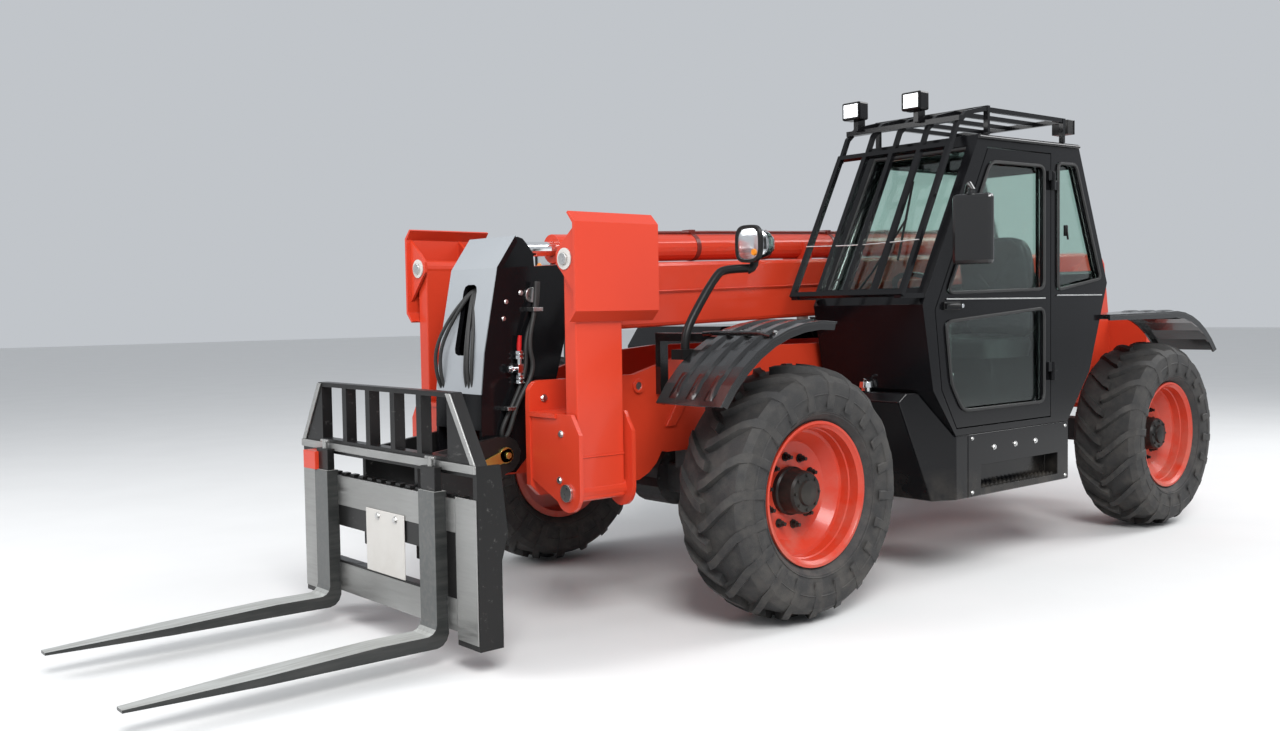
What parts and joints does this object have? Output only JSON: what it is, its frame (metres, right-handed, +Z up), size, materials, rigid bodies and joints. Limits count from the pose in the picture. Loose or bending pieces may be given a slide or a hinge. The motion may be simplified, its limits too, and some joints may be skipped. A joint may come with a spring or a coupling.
{
  "type": "telehandler",
  "caption": "Telescopic handler with a side cab under a guard, a boom along the middle, a fork carriage on a drop head, swing-up stabilisers and steered wheels",
  "frame": {"origin": "centre of the overall box on the ground", "axes": "+X forwards towards the forks, +Y to the cab side (left), +Z up"},
  "size_m": [7.03, 2.795, 2.52],
  "materials": {
    "orange_paint": "semi-gloss paint",
    "black_paint": "gloss paint",
    "tyre_rubber": "matt rubber",
    "axle_iron": "painted casting",
    "fork_steel": "worn bare steel",
    "chrome": "polished",
    "tinted_glass": "clear, slightly green",
    "seat_trim": "grained"
  },
  "bodies": {
    "chassis": {"chassis_frame": "orange_paint", "counterweight": "orange_paint", "engine_block": "axle_iron", "engine_cover": "black_paint", "cab_shell": "black_paint", "windscreen": "tinted_glass", "rear_window": "tinted_glass", "roof_window": "tinted_glass", "right_window": "tinted_glass", "quarter_window": "tinted_glass", "seat": "seat_trim", "steering_column": "seat_trim", "cab_guard": "black_paint", "side_tank": "black_paint", "cab_step": "black_paint", "front_axle": "axle_iron", "rear_axle": "axle_iron", "fender_front_left": "black_paint", "fender_front_right": "black_paint", "fender_rear_left": "black_paint", "fender_rear_right": "black_paint", "headlamp_left": "black_paint", "headlamp_right": "black_paint", "mirror_left": "black_paint", "mirror_right": "black_paint"},
    "door": {"door": "black_paint", "door_upper_glass": "tinted_glass", "door_lower_glass": "tinted_glass"},
    "knuckle_front_left": {"knuckle_front_left": "axle_iron"},
    "wheel_front_left": {"tyre_front_left": "tyre_rubber", "rim_front_left": "orange_paint"},
    "knuckle_front_right": {"knuckle_front_right": "axle_iron"},
    "wheel_front_right": {"tyre_front_right": "tyre_rubber", "rim_front_right": "orange_paint"},
    "knuckle_rear_left": {"knuckle_rear_left": "axle_iron"},
    "wheel_rear_left": {"tyre_rear_left": "tyre_rubber", "rim_rear_left": "orange_paint"},
    "knuckle_rear_right": {"knuckle_rear_right": "axle_iron"},
    "wheel_rear_right": {"tyre_rear_right": "tyre_rubber", "rim_rear_right": "orange_paint"},
    "boom": {"boom_outer": "orange_paint", "extension_barrel": "orange_paint"},
    "boom_inner": {"boom_inner": "orange_paint", "boom_head": "black_paint", "extension_rod": "chrome"},
    "carriage": {"fork_frame": "black_paint", "fork_left": "fork_steel", "fork_right": "fork_steel"},
    "lift_barrel": {"lift_barrel": "black_paint"},
    "lift_rod": {"lift_rod": "chrome"},
    "tilt_barrel": {"tilt_barrel": "black_paint"},
    "tilt_rod": {"tilt_rod": "chrome"},
    "leg_left": {"stabiliser_leg_left": "orange_paint"},
    "foot_left": {"stabiliser_foot_left": "orange_paint"},
    "leg_right": {"stabiliser_leg_right": "orange_paint"},
    "foot_right": {"stabiliser_foot_right": "orange_paint"}
  },
  "joints": [
    {"name": "steer_front_left", "type": "hinge", "parent": "chassis", "child": "knuckle_front_left", "pos_m": [0.685, 0.79, 0.585], "axis": [0, 0, 1], "range_deg": [-35, 35]},
    {"name": "roll_front_left", "type": "hinge", "parent": "knuckle_front_left", "child": "wheel_front_left", "pos_m": [0.685, 0.944, 0.585], "axis": [0, 1, 0], "continuous": true},
    {"name": "steer_front_right", "type": "hinge", "parent": "chassis", "child": "knuckle_front_right", "pos_m": [0.685, -0.79, 0.585], "axis": [0, 0, 1], "range_deg": [-35, 35]},
    {"name": "roll_front_right", "type": "hinge", "parent": "knuckle_front_right", "child": "wheel_front_right", "pos_m": [0.685, -0.944, 0.585], "axis": [0, 1, 0], "continuous": true},
    {"name": "steer_rear_left", "type": "hinge", "parent": "chassis", "child": "knuckle_rear_left", "pos_m": [-2.685, 0.79, 0.585], "axis": [0, 0, 1], "range_deg": [-35, 35]},
    {"name": "roll_rear_left", "type": "hinge", "parent": "knuckle_rear_left", "child": "wheel_rear_left", "pos_m": [-2.685, 0.944, 0.585], "axis": [0, 1, 0], "continuous": true},
    {"name": "steer_rear_right", "type": "hinge", "parent": "chassis", "child": "knuckle_rear_right", "pos_m": [-2.685, -0.79, 0.585], "axis": [0, 0, 1], "range_deg": [-35, 35]},
    {"name": "roll_rear_right", "type": "hinge", "parent": "knuckle_rear_right", "child": "wheel_rear_right", "pos_m": [-2.685, -0.944, 0.585], "axis": [0, 1, 0], "continuous": true},
    {"name": "door_hinge", "type": "hinge", "parent": "chassis", "child": "door", "pos_m": [-1.29, 1.114, 1.5], "axis": [0, 0, 1], "range_deg": [0, 85]},
    {"name": "boom_lift", "type": "hinge", "parent": "chassis", "child": "boom", "pos_m": [-3.165, 0, 1.618], "axis": [0, -1, 0], "range_deg": [-1, 66]},
    {"name": "boom_extend", "type": "slide", "parent": "boom", "child": "boom_inner", "axis": [0.9996, 0, -0.0297], "range_m": [0, 3]},
    {"name": "carriage_tilt", "type": "hinge", "parent": "boom_inner", "child": "carriage", "pos_m": [1.775, 0, 0.79], "axis": [0, 1, 0], "range_deg": [-14, 62]},
    {"name": "lift_barrel_swing", "type": "hinge", "parent": "chassis", "child": "lift_barrel", "pos_m": [-2.415, 0, 0.88], "axis": [0, -1, 0], "range_deg": [-1.01, 67.02]},
    {"name": "lift_rod_slide", "type": "slide", "parent": "lift_barrel", "child": "lift_rod", "axis": [0.9738, 0, 0.2276], "range_m": [-0.0177, 1.169]},
    {"name": "tilt_barrel_swing", "type": "hinge", "parent": "boom_inner", "child": "tilt_barrel", "pos_m": [1.585, 0, 1.5], "axis": [0, 1, 0], "range_deg": [-0.264, 0.06]},
    {"name": "tilt_rod_slide", "type": "slide", "parent": "tilt_barrel", "child": "tilt_rod", "axis": [0.1075, 0, -0.9942], "range_m": [-0.1361, 0.0307]},
    {"name": "leg_swing_left", "type": "hinge", "parent": "chassis", "child": "leg_left", "pos_m": [1.55, 0.6, 0.65], "axis": [-1, 0, 0], "range_deg": [0, 122]},
    {"name": "foot_swing_left", "type": "hinge", "parent": "leg_left", "child": "foot_left", "pos_m": [1.55, 0.6, 1.645], "axis": [1, 0, 0], "range_deg": [0, 60]},
    {"name": "leg_swing_right", "type": "hinge", "parent": "chassis", "child": "leg_right", "pos_m": [1.55, -0.6, 0.65], "axis": [1, 0, 0], "range_deg": [0, 122]},
    {"name": "foot_swing_right", "type": "hinge", "parent": "leg_right", "child": "foot_right", "pos_m": [1.55, -0.6, 1.645], "axis": [-1, 0, 0], "range_deg": [0, 60]}
  ],
  "couplings": [
    {"joint": "steer_front_right", "follows": "steer_front_left", "ratio": 1},
    {"joint": "steer_rear_right", "follows": "steer_rear_left", "ratio": 1},
    {"joint": "lift_barrel_swing", "follows": "boom_lift", "ratio": 0.99558},
    {"joint": "lift_rod_slide", "follows": "boom_lift", "m_per_rad": 0.99495},
    {"joint": "tilt_barrel_swing", "follows": "carriage_tilt", "ratio": -0.00418},
    {"joint": "tilt_rod_slide", "follows": "carriage_tilt", "m_per_rad": -0.12335}
  ]
}
